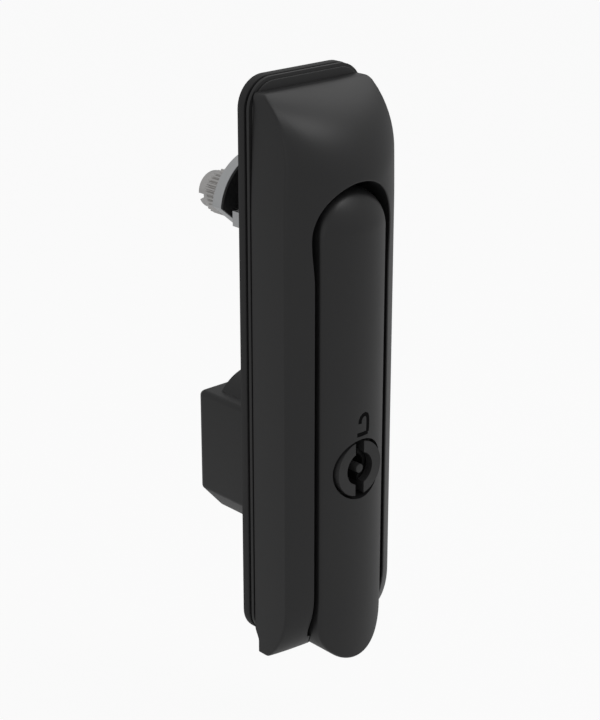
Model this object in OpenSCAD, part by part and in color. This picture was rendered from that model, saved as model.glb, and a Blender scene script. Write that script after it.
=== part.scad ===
// Swing handle latch for a cabinet door: a flush lift and turn handle with a double bit lock.
// Frame: +X to the right and +Z up, seen from in front of the door, and +Y into the door.
// The origin is the middle of the plate on the door's face. A depth is a distance in front of
// the door's face, so it runs along -Y, and a reach is a distance behind the face, along +Y.

/* [Plate] */
// Width of the plate that lies on the door
plate_w = 50; // [49:0.5:56]
// Height of the plate that lies on the door
plate_h = 199.6; // [198:0.2:212]
// Corner radius of the plate
plate_corner = 10.3; // [7:0.1:12]
// Thickness of the rubber gasket
gasket_t = 3.2; // [2.4:0.1:4]
// Height of the shadow groove between the gasket and the rim
groove_t = 1.1; // [0.6:0.1:1.6]
// Depth of the shadow groove from the plate's edge
groove_inset = 1.2; // [0.8:0.1:1.8]
// Thickness of the base frame's rim
rim_t = 1.2; // [1:0.1:2]
// Thickness of the cover's flange
flange_t = 2.4; // [2:0.1:3.2]
// Step from the rim's edge to the flange's edge
flange_inset = 0.5; // [0.3:0.1:1]
// Edge rounding of the flange
flange_round = 1; // [0.6:0.1:1.4]

/* [Cover] */
// Step from the plate's edge to the cover's side
side_step = 0.4; // [0.3:0.1:1]
// Step from the plate's upper end to the cover's upper end
top_step = 4.2; // [3:0.2:6]
// How far the cover's lower end hangs below the plate
toe_drop = 4.2; // [2:0.2:6]
// Depth of the cover's side edge
side_depth = 22; // [20:0.2:24]
// Depth of the crown, on the cover's middle line
crown_depth = 31.9; // [30:0.1:34]
// Depth of the upper end's edge
top_edge_depth = 10.3; // [9.5:0.1:13]
// Depth of the lower end's edge
bottom_edge_depth = 12.2; // [11:0.2:13]
// How far the lower end's edge bows forward in the middle
bottom_bow = 2.2; // [0:0.2:3]
// Length of the upper end's curve at the side edge
top_run = 22; // [17:0.2:24]
// Length of the upper end's curve on the middle line
top_run_crown = 31; // [26:0.5:34]
// Length of the lower end's curve at the side edge
bottom_run = 22; // [18:0.5:25]
// Length of the lower end's curve on the middle line
bottom_run_crown = 30; // [26:0.5:34]
// Height where the cover's sides start to draw in towards the upper end
taper_z = 55; // [45:1:70]
// How far each side draws in at the upper end
taper = 1.35; // [0.6:0.05:1.8]
// Wall of the moulded cover
cover_wall = 2.2; // [1.8:0.1:2.6]

/* [Handle] */
// Width of the handle
handle_w = 29.2; // [28:0.2:31]
// Depth of the handle's crown, on its middle line
handle_crown = 32.8; // [32:0.1:34]
// Depth of the handle's front at its side edges, before their rounding
handle_side = 28.4; // [27:0.1:30]
// Height of the handle's hub and of the drive shaft
hub_z = 50; // [48:0.5:52]
// Height of the centre of the handle's round lower end
tip_z = -90.4; // [-95:0.1:-88]
// Gap between the handle and the channel's sides
channel_gap = 2; // [1.4:0.1:2.4]
// Extra gap round the hub
hub_gap = 1.3; // [1:0.1:1.8]
// Depth of the handle's back face
handle_back = 15.5; // [15:0.1:16.5]
// Gap between the handle's back and the channel's floor
floor_gap = 2.5; // [2:0.1:3]
// Depth of the floor of the hub's well
hub_floor = 9; // [8.6:0.1:9.6]
// Edge rounding of the handle's sides
handle_edge = 1.6; // [1:0.1:2.5]
// Edge rounding of the hub's upper end
hub_edge = 6; // [3:0.5:8]
// Edge rounding of the lower end
tip_edge = 1; // [0.8:0.1:4]
// Length of the curve of the handle's lower end
tip_run = 26; // [20:1:32]
// How far the handle's front falls back at the lower end
tip_drop = 0.7; // [0.5:0.1:6]
// Wall of the moulded handle at its sides
handle_wall = 3.3; // [2.8:0.1:4]

/* [Pivot] */
// Diameter of the pin that the handle lifts on
pivot_d = 5; // [4:0.5:6]
// Depth of the pivot pin
pivot_depth = 18; // [17.5:0.1:18.5]
// Length of the pivot pin
pivot_len = 26; // [24:0.5:27]
// Width of the yoke between the handle's cheeks
yoke_w = 18; // [16:0.5:19]
// Radius of the yoke's round head
yoke_r = 6.5; // [6:0.1:7]
// Running clearance of pins and journals, on the radius
run_fit = 0.05; // [0.02:0.01:0.1]

/* [Lock] */
// Height of the lock's axis
lock_z = -32.4; // [-36:0.2:-30]
// Diameter of the lock barrel
barrel_d = 19.6; // [16:0.2:20.6]
// How far the barrel's face lies behind the crown
barrel_set = 0.5; // [0.4:0.1:1]
// Depth of the barrel's rear end
barrel_rear = 10.4; // [10.2:0.1:10.8]
// Diameter of the key bore in the barrel's face
key_bore_d = 11.4; // [10:0.2:12]
// Width of the slots for the key's bits
key_slot_w = 3.5; // [3:0.1:4]
// Diameter of the pin in the key bore
key_pin_d = 3.2; // [2.8:0.1:3.6]
// Thickness of the barrel's face ring
face_ring_t = 3; // [2.4:0.1:3.6]
// Diameter of the rotor
rotor_d = 13; // [12.6:0.1:13.6]
// Length of the locking cam from the lock's axis to its tip
cam_len = 14; // [13:0.2:14.6]
// Width of the locking cam
cam_w = 6; // [5:0.2:6.5]
// Thickness of the locking cam
cam_t = 2.4; // [2:0.1:2.6]

/* [Drive shaft] */
// Diameter of the drive shaft
shaft_d = 14.2; // [13.6:0.2:14.6]
// Reach of the shaft's rear end
shaft_reach = 42.7; // [40:0.1:48]
// Diameter of the front journal, in the yoke
journal_d = 10; // [9:0.5:10.5]
// Diameter over the teeth of the toothed ring
ring_d = 17; // [16.4:0.2:18]
// Number of teeth on the ring
ring_teeth = 30; // [24:2:36]
// Depth of the teeth
tooth_h = 1.1; // [0.8:0.1:1.2]
// Reach of the toothed ring's front face
ring_reach = 33; // [30:0.5:34]
// Thickness of the toothed ring
ring_t = 5.4; // [4:0.2:5.6]
// Width of the driver slot in the shaft's end
end_slot_w = 2.7; // [2:0.1:3]
// Depth of the driver slot
end_slot_t = 2.6; // [2:0.1:4]

/* [Turn stop] */
// Radius of the stop disc
disc_r = 19.6; // [18:0.2:20]
// Reach of the stop disc's front face
disc_reach = 15.5; // [15:0.5:18]
// Thickness of the stop disc
disc_t = 4.5; // [3:0.5:5]
// Distance of the disc's flat from the shaft's axis
disc_flat = 10.9; // [10.5:0.1:12]
// Thickness of the black washer in front of the disc
washer_t = 1; // [0.8:0.1:1.4]
// Reach of the frame's shaft boss
boss_reach = 6; // [5:0.5:6.5]
// Radius of the frame's shaft boss
boss_r = 15; // [14:0.5:16]
// Thickness of the bearing plate
bearing_t = 4; // [3:0.5:4.5]
// Distance of the bearing plate's ear ends from the shaft's axis
ear_x = 19; // [18:0.5:20]
// Height of the bearing plate's ears
ear_h = 5.2; // [4.6:0.2:6]
// Outer diameter of the shaft's bush
bush_d = 18; // [17.4:0.2:18.6]

/* [Lock box] */
// Width of the lock box behind the door
box_w = 36.6; // [34:0.2:38]
// Height of the box's upper side
box_top = -16.4; // [-17:0.2:-15]
// Height where the box's lower corners start
box_mid = -53.6; // [-55:0.2:-52]
// Height of the box's lower side
box_bottom = -63.4; // [-65:0.2:-61]
// Width of the box's lower side
box_bottom_w = 19; // [16:1:22]
// Reach of the box's rear face
box_reach = 31; // [28:0.5:34]
// Edge rounding of the box
box_round = 2; // [1.5:0.5:4]
// Wall of the box
box_wall = 2.4; // [2:0.1:2.8]
// Radius of the round collar on the box
collar_r = 16.9; // [15:0.1:17.4]
// Height of the collar's axis
collar_z = -26.8; // [-28:0.2:-26]
// Reach of the collar's rear face
collar_reach = 24; // [20:0.5:26]

/* [Fixings] */
// Height of the two fixing threads from the plate's middle
fix_z = 82; // [80:0.5:84]
// Thread size of the fixing threads
fix_d = 5; // [4:1:6]
// Reach of the fixing bosses
fix_reach = 4; // [3:0.5:5]
// Outer diameter of the thread inserts
insert_d = 8; // [7.4:0.2:8.4]
// Thread size of the small screws
screw_d = 3; // [2.5:0.1:3.2]
// Head diameter of the small screws
screw_head_d = 5.6; // [5:0.2:6]

/* [Hidden] */
$fn = 48;
cut = 0.5;

// Levels in front of the door
frame_back = gasket_t;
rim_back = frame_back + groove_t;
rim_front = rim_back + rim_t;
flange_front = rim_front + flange_t;
channel_floor = handle_back - floor_gap;
floor_t = 2;

// The cover's front surface
shell_half = plate_w / 2 - side_step;
shell_top = plate_h / 2 - top_step;
shell_bottom = -plate_h / 2 - toe_drop;
crown_h = crown_depth - side_depth;
crown_r = (crown_h * crown_h + shell_half * shell_half) / (2 * crown_h);
shell_columns = 16;
shell_rows = 10;

// The handle
handle_half = handle_w / 2;
handle_h = handle_crown - handle_side;
handle_r = (handle_h * handle_h + handle_half * handle_half) / (2 * handle_h);
channel_half = handle_half + channel_gap;
well_r = channel_half + hub_gap;
well_low = hub_z - 0.95 * well_r;
end_steps = 8;
round_steps = 4;
inner_steps = 5;

// The lock
barrel_face = handle_crown - barrel_set;
rotor_face = barrel_face - face_ring_t;
cam_front = barrel_rear - 0.5;
cam_back = cam_front - cam_t;
barrel_hole_r = barrel_d / 2 + 1;
cam_way_w = 2.5 * cam_w;

// The shaft
shaft_r = shaft_d / 2;
shaft_front = hub_floor - 0.3;
journal_front = pivot_depth - pivot_d / 2 - 0.8;
bearing_rear = boss_reach + bearing_t;
washer_reach = disc_reach - washer_t;
clip_reach = disc_reach + disc_t;
clip_t = 1.2;

// Fits and small steps
seat_gap = 0.3;
rim_inset = 0.2;
screw_head_t = 1.4;
screw_seat = rim_front - 0.8;
cover_screw_l = 8;
insert_front = rim_front - 0.8;
fix_boss_r = insert_d / 2 + 2.2;
bush_flange_r = bush_d / 2 + 2;
yoke_screw_seat = rim_front + 1.7;
foot_t = 2.5;
foot_half = well_r - 2.3;
foot_h = 7;
yoke_screw_x = foot_half - 3.1;
ring_section = 0.9;

// The channel's open end and the cover's toe
flare_z = tip_z + 6.2;
flare = 2.4;
scoop_z = tip_z + 24.2;
scoop_drop = 3;
shell_bottom_land = rim_inset + 1 - plate_h / 2;

// The window into the lock box and the cover's rear hollows
window_w = 16;
window_top = lock_z + barrel_d / 2;
window_low = lock_z - cam_len;
box_post_r = screw_d / 2 + 1.9;
box_post_in = box_wall + box_post_r - 0.2;
box_screw_x = box_w / 2 - box_post_in;
pocket_half = max(cam_len + 1.4, box_screw_x + screw_head_d / 2 + 0.3);
lock_pocket = [lock_z - 1.6 * cam_len, lock_z + 1.4 * cam_len];
upper_pocket = [lock_pocket[1] + cover_wall, well_low - cover_wall];
side_pocket_x = (shell_half + channel_half) / 2;
side_pocket_w = shell_half - channel_half - 2 * cover_wall;
box_corner_steps = 4;
box_post = 12;
box_screw_l = 9;
bush_step = 0.6;
bearing_r = 12.5;

// The handle's hollows and the room round the yoke
yoke_gap = 0.4;
pocket_h = 12;
liner_t = 1.8;
liner_half = handle_half - 1.9;
liner_top = hub_z - handle_half;
liner_low = tip_z - 0.4 * handle_half;
hollow_half = handle_half - handle_wall;
hollow_depth = side_depth + 0.9 * handle_wall;
handle_hollows = [[lock_z + 13, liner_top - 2], [liner_low + 4, lock_z - 13]];

// The lock's inner pieces
clip_front = handle_back - 0.1;
clip_w = 1;
clip_groove_r = barrel_d / 2 - 0.8;
tang_w = 5;
key_floor = rotor_face - 9;
key_socket_r = 4.4;
pin_seat = 4;
cam_screw_l = 5;
cam_hub_r = 5.2;
cam_head_r = 3.4;

// The shaft's groove, bore and turned features
shaft_groove_r = shaft_r - 0.6;
slot_turn = 15;
end_bore_r = 2.1;
end_bore_t = 12;
flat_turn = 225;

// Places of the small screws
cover_screw_x = plate_w / 2 - groove_inset - screw_head_d / 2 - 1.2;
cover_screw_z = [fix_z - 0.06 * plate_h, 0.06 * plate_h, 0.02 * plate_h - fix_z];
cover_screw_at = [for (z = cover_screw_z) for (sx = [-1, 1]) [sx * cover_screw_x, z]];
side_runs = [[cover_screw_z[2] + 2 * screw_d, lock_z], [lock_z + cover_wall, cover_screw_z[1] - 2 * screw_d],
    [cover_screw_z[1] + 2 * screw_d, well_low - cover_wall]];
bearing_screw_x = boss_r - 2.6;
box_screw_at = [for (z = [box_top - box_post_in, box_mid + 3]) for (sx = [-1, 1])
    [sx * box_screw_x, z]];

// Extrudes a front view outline from one depth to a larger one.
module slab(a0, a1) {
    translate([0, -a0, 0]) rotate([90, 0, 0]) linear_extrude(a1 - a0) children();
}

// A round bar along Y between two depths.
module bar(a0, a1, r) {
    translate([0, -a0, 0]) rotate([90, 0, 0]) cylinder(h = a1 - a0, r = r);
}

// A round bar along Y between two depths, centred at a place in the front view.
module bar_at(place, a0, a1, r) {
    translate([place[0], 0, place[1]]) bar(a0, a1, r);
}

// Rectangle with round corners, centred on the origin.
module round_rect(w, h, r) {
    square([w - 2 * r, h], center = true);
    square([w, h - 2 * r], center = true);
    for (sx = [-1, 1]) for (sz = [-1, 1])
        translate([sx * (w / 2 - r), sz * (h / 2 - r)]) circle(r);
}

// The plate's outline, moved in from its edge.
module plate_outline(inset) {
    round_rect(plate_w - 2 * inset, plate_h - 2 * inset, plate_corner - inset);
}

// The plate's height above the crown arc's chord at x.
function bulge(x) = sqrt(crown_r * crown_r - x * x) - sqrt(crown_r * crown_r - shell_half * shell_half);

// Depth of an end curve: a circular arc that leaves the full depth and meets the end's edge.
function end_curve(full, edge, run, t) =
    let (drop = full - edge, r = (run * run + drop * drop) / (2 * drop))
    t <= 0 ? full : full - r + sqrt(max(0, r * r - t * t));

// Depth of the cover's front surface.
function cover_depth(x, z) =
    let (rise = bulge(x), share = rise / crown_h, full = side_depth + rise,
        up = top_run + (top_run_crown - top_run) * share,
        down = bottom_run + (bottom_run_crown - bottom_run) * share)
    z > 0 ? end_curve(full, top_edge_depth, up, z - (shell_top - up))
        : end_curve(full, bottom_edge_depth + bottom_bow * share, down, (shell_bottom + down) - z);

// Heights of the cover's sections: close together where the ends curve.
function shell_heights() = concat(
    [for (i = [0:shell_rows]) shell_bottom + bottom_run_crown * (1 - cos(90 * i / shell_rows))], [taper_z],
    [for (i = [shell_rows:-1:0]) shell_top - top_run_crown * (1 - cos(90 * i / shell_rows))]);

// A closed solid through sections with equal numbers of points, each a convex loop.
module loft(sections) {
    n = len(sections[0]);
    m = len(sections);
    points = [for (s = sections) each s];
    last = (m - 1) * n;
    polyhedron(points, concat(
        [for (j = [0:m - 2]) for (i = [0:n - 1])
            let (p = j * n + i, q = j * n + (i + 1) % n)
            each [[p, p + n, q + n], [p, q + n, q]]],
        [for (i = [1:n - 2]) [0, i, i + 1]],
        [for (i = [1:n - 2]) [last, last + i + 1, last + i]]));
}

// Share of the full half width that the cover has at a height.
function draw_in(z) = 1 - taper * pow(max(0, (z - taper_z) / (shell_top - taper_z)), 1.4) / shell_half;

// The cover's body: its front surface, down to a flat back.
module cover_body(back) {
    loft([for (z = shell_heights()) let (share = draw_in(z)) concat(
        [[-shell_half * share, -back, z]],
        [for (i = [0:shell_columns]) let (x = shell_half * sin(-90 + 180 * i / shell_columns))
            [x * share, -cover_depth(x, z), z]],
        [[shell_half * share, -back, z]])]);
}

// Half width of the handle's channel at a height: the well's neck, the straight run, the flared end.
function channel_side(z) =
    z > well_low ? channel_half + hub_gap * (1 - cos(180 * (z - well_low) / (hub_z - well_low))) / 2
    : z < flare_z ? channel_half + flare * pow((flare_z - z) / (flare_z - shell_bottom), 2)
    : channel_half;

// The channel's outline in the front view, wider by a margin.
module channel_outline(margin = 0, low = shell_bottom - 20) {
    zs = concat([low], [for (i = [0:6]) shell_bottom + (flare_z - shell_bottom) * i / 6],
        [for (i = [0:8]) well_low + (hub_z - well_low) * i / 8]);
    side = [for (z = zs) [channel_side(max(z, shell_bottom)) + margin, z]];
    polygon(concat(side, [for (i = [len(side) - 1:-1:0]) [-side[i][0], side[i][1]]]));
    translate([0, hub_z]) circle(well_r + margin);
}

// Block across the front view between two heights.
module band(z0, z1, w = plate_w) {
    translate([-w / 2, z0]) square([w, z1 - z0]);
}

// A pan head screw along Y. Its head's underside is at the depth, and its shank goes forward.
module screw(place, depth, length) {
    difference() {
        union() {
            bar_at(place, depth, depth + length, screw_d / 2);
            bar_at(place, depth - screw_head_t, depth, screw_head_d / 2);
        }
        translate([place[0], -depth + screw_head_t, place[1]])
            for (turn = [0, 90]) rotate([0, turn, 0])
                cube([screw_head_d * 0.6, screw_head_t * 1.2, screw_d * 0.25], center = true);
    }
}

module gasket() {
    color([0.06, 0.06, 0.065])
    difference() {
        slab(0, gasket_t) plate_outline(0);
        bar_at([0, hub_z], -cut, gasket_t + cut, boss_r + seat_gap);
        slab(-cut, gasket_t + cut) box_outline(seat_gap);
        for (sz = [-1, 1])
            bar_at([0, sz * fix_z], -cut, gasket_t + cut, fix_boss_r + seat_gap);
    }
}

module base_frame() {
    color([0.14, 0.14, 0.145])
    difference() {
        union() {
            slab(frame_back, rim_back) plate_outline(groove_inset);
            slab(rim_back, rim_front) plate_outline(rim_inset);
            bar_at([0, hub_z], -boss_reach, frame_back, boss_r);
            for (sz = [-1, 1])
                bar_at([0, sz * fix_z], -fix_reach, frame_back, fix_boss_r);
        }
        bar_at([0, hub_z], -boss_reach - cut, rim_front + cut, bush_d / 2);
        bar_at([0, hub_z], frame_back + 0.6, rim_front + cut, bush_flange_r);
        slab(frame_back - cut, rim_front + cut) lock_window();
        for (sz = [-1, 1])
            bar_at([0, sz * fix_z], -fix_reach - cut, insert_front, insert_d / 2);
        for (p = cover_screw_at) {
            bar_at(p, frame_back - cut, rim_front + cut, screw_d / 2 + 0.2);
            bar_at(p, frame_back - cut, screw_seat, screw_head_d / 2 + 0.2);
        }
        for (p = box_screw_at)
            bar_at(p, frame_back - cut, rim_front + cut, screw_d / 2 + 0.2);
        for (sx = [-1, 1])
            bar_at([sx * bearing_screw_x, hub_z], -boss_reach - cut, 0, screw_d / 2);
    }
}

// Window through the frame into the lock box.
module lock_window() {
    translate([0, (window_top + window_low) / 2])
        round_rect(window_w, window_top - window_low, 3);
}

module front_cover() {
    color([0.2, 0.2, 0.21])
    difference() {
        union() {
            slab(rim_front, flange_front - flange_round) plate_outline(rim_inset + flange_inset);
            slab(flange_front - flange_round, flange_front)
                plate_outline(rim_inset + flange_inset + flange_round / 2);
            cover_body(flange_front - flange_round);
        }
        toe_relief();
        slab(hub_floor, crown_depth + cut) intersection() {
            channel_outline();
            band(well_low - 2, shell_top);
        }
        slab(channel_floor, crown_depth + cut) intersection() {
            channel_outline();
            band(shell_bottom - 20, well_low - 2);
        }
        finger_scoop();
        bar_at([0, hub_z], rim_front - cut, hub_floor + cut, shaft_r + 0.4);
        rear_pockets();
        lock_passage();
        for (p = cover_screw_at)
            bar_at(p, rim_front - cut, rim_front + cover_screw_l, screw_d / 2);
        bar_at([0, hub_z], rim_front - cut, rim_front + 2 * ring_section + 0.4,
            shaft_r + run_fit + 2 * ring_section);
        for (sx = [-1, 1]) {
            bar_at([sx * yoke_screw_x, hub_z], rim_front - cut, hub_floor + cut, screw_d / 2 + 0.1);
            bar_at([sx * yoke_screw_x, hub_z], rim_front - cut, yoke_screw_seat, screw_head_d / 2 + 0.2);
        }
    }
}

// The cover's toe hangs in front of the flange, below the plate.
module toe_relief() {
    translate([-plate_w, -flange_front, shell_bottom - 20])
        cube([2 * plate_w, flange_front, shell_bottom_land - shell_bottom + 20]);
}

// The channel's floor falls back towards the open end, so that fingers reach behind the handle.
module finger_scoop() {
    rotate([90, 0, 90]) translate([0, 0, -channel_half]) linear_extrude(2 * channel_half)
        polygon([[-channel_floor - cut, scoop_z], [-channel_floor, scoop_z],
            for (i = [1:6]) let (s = i / 6)
                [-channel_floor + scoop_drop * s * s, scoop_z + (shell_bottom - cut - scoop_z) * s],
            [-channel_floor - cut, shell_bottom - cut]]);
}

// Hollows moulded into the cover's rear, between its ribs.
module rear_pockets() {
    slab(rim_front - cut, channel_floor - floor_t) {
        band(upper_pocket[0], upper_pocket[1], 2 * pocket_half);
        band(lock_pocket[0], lock_pocket[1], 2 * pocket_half);
    }
    for (sx = [-1, 1]) for (run = side_runs)
        slab(rim_front - cut, side_depth - cover_wall) translate([sx * side_pocket_x, 0])
            band(run[0], run[1], side_pocket_w);
}

// Way for the lock barrel and its cam through the channel's floor, with the room where the cam turns.
module lock_passage() {
    bar_at([0, lock_z], channel_floor - floor_t - cut, channel_floor + cut, barrel_hole_r);
    slab(channel_floor - floor_t - cut, channel_floor + cut)
        translate([-cam_way_w / 2, lock_z - cam_len - 1.6]) square([cam_way_w, cam_len + 1.6]);
}

module cover_screws() {
    color([0.62, 0.63, 0.65])
    for (p = cover_screw_at) screw(p, screw_seat, cover_screw_l);
}

module thread_inserts() {
    color([0.72, 0.6, 0.32])
    for (sz = [-1, 1]) difference() {
        union() {
            bar_at([0, sz * fix_z], -fix_reach, insert_front - 0.4, insert_d / 2);
        }
        bar_at([0, sz * fix_z], -fix_reach - cut, insert_front, fix_d / 2);
    }
}

// Corners of the lock box, clockwise in the front view.
box_points = [[-box_w / 2, box_top], [box_w / 2, box_top], [box_w / 2, box_mid],
    [box_bottom_w / 2, box_bottom], [-box_bottom_w / 2, box_bottom], [-box_w / 2, box_mid]];

// Outward direction of the box's side that leaves a corner.
function box_normal(i) = let (n = len(box_points), d = box_points[(i + 1) % n] - box_points[i % n])
    [-d[1], d[0]] / norm(d);

// Corner of the box's outline, moved in by a distance.
function box_corner(i, inset) = let (a = box_normal(i + len(box_points) - 1), b = box_normal(i))
    box_points[i] - inset * (a + b) / (1 + a * b);

// Outline of the lock box in the front view, wider by a margin.
module box_outline(margin = 0) {
    polygon([for (i = [0:len(box_points) - 1]) box_corner(i, -margin)]);
    translate([0, collar_z]) circle(collar_r + margin);
}

// The box's outline at a reach, with round corners that shrink towards the rear edge.
function box_section(reach, r) = [for (i = [0:len(box_points) - 1]) for (k = [0:box_corner_steps])
    let (c = box_corner(i, box_round), a = box_normal(i + len(box_points) - 1), b = box_normal(i),
        start = atan2(a[1], a[0]), turn = acos(a * b) * k / box_corner_steps)
    [c[0] + r * cos(start - turn), reach, c[1] + r * sin(start - turn)]];

module box_body() {
    flat_reach = box_reach - box_round;
    loft(concat([box_section(-frame_back, box_round)],
        [for (turn = [0, 22.5, 45, 65, 80])
            box_section(flat_reach + box_round * sin(turn) / sin(80), box_round * cos(turn))]));
}

module lock_box() {
    color([0.13, 0.13, 0.135]) {
        difference() {
            union() {
                box_body();
                bar_at([0, collar_z], -collar_reach, frame_back, collar_r);
            }
            slab(-box_reach + box_wall, frame_back + cut)
                polygon([for (i = [0:len(box_points) - 1]) box_corner(i, box_wall)]);
            bar_at([0, collar_z], -collar_reach + box_wall, frame_back + cut, collar_r - box_wall);
        }
        for (p = box_screw_at) difference() {
            bar_at(p, -box_post, frame_back, box_post_r);
            bar_at(p, -box_screw_l - 1, frame_back + cut, screw_d / 2);
        }
    }
}

module box_screws() {
    color([0.62, 0.63, 0.65])
    for (p = box_screw_at) mirror([0, 1, 0]) screw(p, -rim_front, rim_front + box_screw_l);
}

module shaft_bush() {
    color([0.85, 0.83, 0.78])
    difference() {
        union() {
            bar_at([0, hub_z], -boss_reach, frame_back + bush_step, bush_d / 2);
            bar_at([0, hub_z], frame_back + bush_step, rim_front, bush_flange_r);
        }
        bar_at([0, hub_z], -boss_reach - cut, rim_front + cut, shaft_r + run_fit);
    }
}

module shaft_seal() {
    color([0.05, 0.05, 0.05])
    translate([0, -rim_front - ring_section, hub_z]) rotate([90, 0, 0])
        rotate_extrude() translate([shaft_r + run_fit + ring_section, 0]) circle(ring_section, $fn = 24);
}

module bearing_plate() {
    color([0.72, 0.73, 0.74])
    difference() {
        slab(-bearing_rear, -boss_reach) translate([0, hub_z]) {
            circle(bearing_r);
            square([2 * ear_x, ear_h], center = true);
        }
        bar_at([0, hub_z], -bearing_rear - cut, -boss_reach + cut, shaft_r + seat_gap);
        for (sx = [-1, 1])
            bar_at([sx * bearing_screw_x, hub_z], -bearing_rear - cut, -boss_reach + cut, screw_d / 2);
    }
}

module bearing_screws() {
    color([0.66, 0.67, 0.69])
    for (sx = [-1, 1]) screw([sx * bearing_screw_x, hub_z], -bearing_rear, bearing_rear - 1);
}

// The yoke that the handle's pin sits in: a foot on the cover's floor, a stem and a round head.
module drive_yoke() {
    color([0.7, 0.71, 0.72])
    difference() {
        union() {
            slab(hub_floor, hub_floor + foot_t) translate([0, hub_z]) round_rect(2 * foot_half, foot_h, 2.5);
            slab(hub_floor, pivot_depth) translate([0, hub_z]) square([yoke_w, 2 * yoke_r], center = true);
            lift_axis_bar(yoke_w, yoke_r);
        }
        lift_axis_bar(yoke_w + 2 * cut, pivot_d / 2);
        bar_at([0, hub_z], hub_floor - cut, journal_front + seat_gap, journal_d / 2 + run_fit);
        for (sx = [-1, 1])
            bar_at([sx * yoke_screw_x, hub_z], hub_floor - cut, hub_floor + foot_t + cut, screw_d / 2);
    }
}

// A round bar along the axis that the handle lifts on.
module lift_axis_bar(length, r) {
    translate([-length / 2, -pivot_depth, hub_z]) rotate([0, 90, 0]) cylinder(h = length, r = r);
}

module yoke_screws() {
    color([0.62, 0.63, 0.65])
    for (sx = [-1, 1])
        screw([sx * yoke_screw_x, hub_z], yoke_screw_seat, hub_floor + foot_t - yoke_screw_seat - 0.2);
}

module pivot_pin() {
    color([0.75, 0.76, 0.77])
    lift_axis_bar(pivot_len, pivot_d / 2);
}

// Edge rounding of the handle along its outline.
function handle_round(z) =
    z > hub_z ? handle_edge + (hub_edge - handle_edge) * sin(90 * (z - hub_z) / handle_half)
    : z < tip_z ? handle_edge + (tip_edge - handle_edge) * sin(90 * (tip_z - z) / handle_half)
    : handle_edge;

// Depth of the handle's front surface.
function handle_depth(x, z) =
    let (full = handle_crown - handle_r + sqrt(handle_r * handle_r - x * x))
    end_curve(full, full - tip_drop, tip_run, tip_z - handle_half + tip_run - z);

// Stations down the handle's right side: the height of the arc's centre and the outward direction.
function handle_stations() = let (bend = tip_z - handle_half + tip_run) concat(
    [for (i = [0:end_steps]) [hub_z, 90 - 90 * i / end_steps]],
    [for (i = [1:3]) [hub_z + (bend - hub_z) * i / 3, 0]],
    [[(bend + tip_z) / 2, 0]],
    [for (i = [0:end_steps]) [tip_z, -90 * i / end_steps]]);

// One ring of the handle's surface, at a share of the way from its edge to its middle line.
function handle_ring(step) = let (right = handle_stations(), last = len(right) - 1)
    concat([for (i = [0:last]) ring_point(right[i], 1, step)],
        [for (i = [last - 1:-1:1]) ring_point(right[i], -1, step)]);

function ring_point(station, side, step) =
    let (r = handle_round(station[0] + handle_half * sin(station[1])),
        turn = 90 * min(1, step / round_steps),
        inner = max(0, step - round_steps) / inner_steps,
        inset = r * (1 - cos(turn)) + (handle_half - r - 0.4) * inner,
        x = side * (handle_half - inset) * cos(station[1]),
        z = station[0] + (handle_half - inset) * sin(station[1]))
    [x, -handle_depth(x, z) + r * (1 - sin(turn)), z];

// The handle's solid: rings over its front, then its flat back, each closed by strips across.
module handle_body() {
    rings = concat([[for (p = handle_ring(0)) [p[0], -handle_back, p[2]]]],
        [for (k = [0:round_steps + inner_steps]) handle_ring(k)]);
    n = len(rings[0]);
    last = (len(rings) - 1) * n;
    polyhedron([for (r = rings) each r], concat(
        [for (k = [0:len(rings) - 2]) for (i = [0:n - 1])
            let (p = k * n + i, q = k * n + (i + 1) % n)
            each [[p, q, q + n], [p, q + n, p + n]]],
        strip(0, n, false), strip(last, n, true)));
}

// Triangles across a ring, from its right side to its left.
function strip(base, n, front) = let (half = n / 2)
    [for (i = [0:half - 1]) let (a = base + i, b = base + i + 1,
        c = base + n - 1 - i, d = base + (n - i) % n)
        each (i == 0 ? [turned([a, b, c], front)]
            : i == half - 1 ? [turned([a, b, d], front)]
            : [turned([a, b, c], front), turned([a, c, d], front)])];

function turned(face, front) = front ? face : [face[2], face[1], face[0]];

module handle_grip() {
    color([0.22, 0.22, 0.23])
    difference() {
        handle_body();
        lift_axis_bar(yoke_w + 2 * yoke_gap, yoke_r + yoke_gap + 0.1);
        slab(handle_back - cut, pivot_depth) translate([0, hub_z])
            square([yoke_w + 2 * yoke_gap, 2 * pocket_h], center = true);
        lift_axis_bar(pivot_len + 0.8, pivot_d / 2 + run_fit);
        bar_at([0, lock_z], handle_back - cut, handle_crown + cut, barrel_d / 2);
        bar_at([0, lock_z], barrel_face - 1.6, handle_crown + cut, barrel_d / 2 + 1);
        slab(handle_back - cut, handle_back + liner_t) liner_outline(0);
        for (run = handle_hollows)
            slab(handle_back - cut, hollow_depth) band(run[0], run[1], 2 * hollow_half);
    }
}

// Outline of the liner that closes the handle's back.
module liner_outline(inset) {
    translate([0, (liner_top + liner_low) / 2])
        round_rect(2 * liner_half - 2 * inset, liner_top - liner_low - 2 * inset, 4);
}

module handle_liner() {
    color([0.12, 0.12, 0.125])
    difference() {
        slab(handle_back, handle_back + liner_t) liner_outline(0.1);
        bar_at([0, lock_z], handle_back - cut, handle_back + liner_t + cut, barrel_d / 2 + 0.1);
    }
}

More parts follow.
